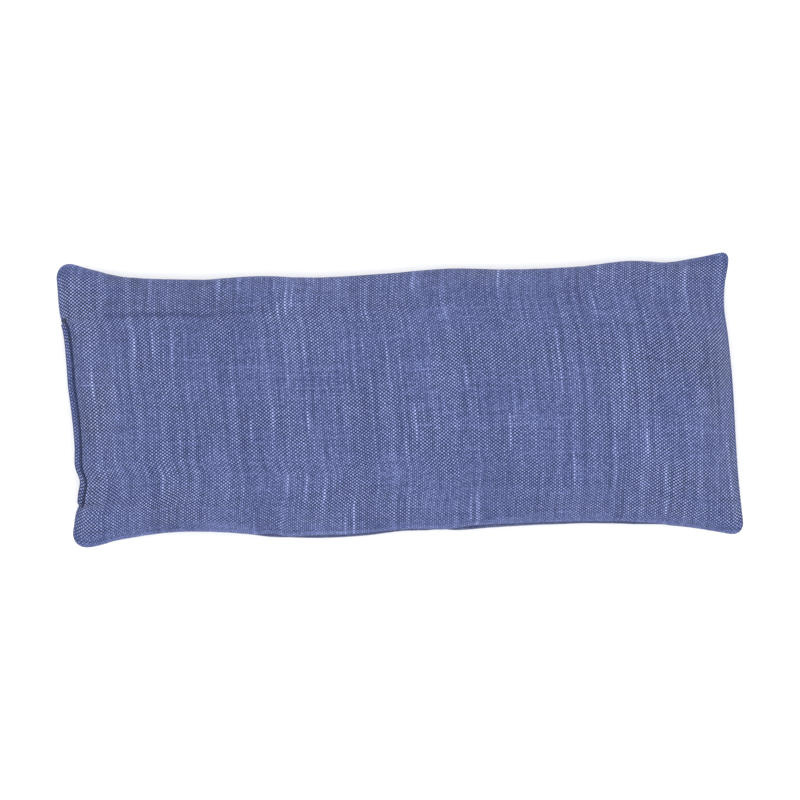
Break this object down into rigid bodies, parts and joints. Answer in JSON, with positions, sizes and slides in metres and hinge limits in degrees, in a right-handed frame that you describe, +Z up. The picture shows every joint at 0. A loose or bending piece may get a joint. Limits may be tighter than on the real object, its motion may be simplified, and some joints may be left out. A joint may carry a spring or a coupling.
{
  "type": "eye pillow",
  "caption": "Flat oblong eye pillow: a turned blue linen cover, edge-stitched at one short end, over a muslin pouch of flaxseed.",
  "frame": {"origin": "middle of the bounding box's bottom, on the surface that the pillow lies on", "axes": "+X along the pillow, away from the closing end; +Y across it; +Z up, out of the front panel"},
  "size_m": [0.2346, 0.0974, 0.024],
  "materials": {
    "linen": "matte plain-weave linen, periwinkle blue, slubby",
    "seam_thread": "matte sewing thread, blue",
    "closing_thread": "matte sewing thread, dark navy",
    "muslin": "matte unbleached cotton muslin",
    "pouch_thread": "matte cotton thread, off-white",
    "seed": "glossy brown flaxseed with dried lavender"
  },
  "bodies": {
    "root": {"cover_front_panel": "linen", "cover_back_panel": "linen", "cover_seam_needle_thread": "seam_thread", "cover_seam_bobbin_thread": "seam_thread", "closing_needle_thread": "closing_thread", "closing_bobbin_thread": "closing_thread", "pouch_front_panel": "muslin", "pouch_back_panel": "muslin", "pouch_seam_needle_thread": "pouch_thread", "pouch_seam_bobbin_thread": "pouch_thread", "pouch_closing_needle_thread": "pouch_thread", "pouch_closing_bobbin_thread": "pouch_thread", "seed_fill": "seed"}
  },
  "joints": []
}
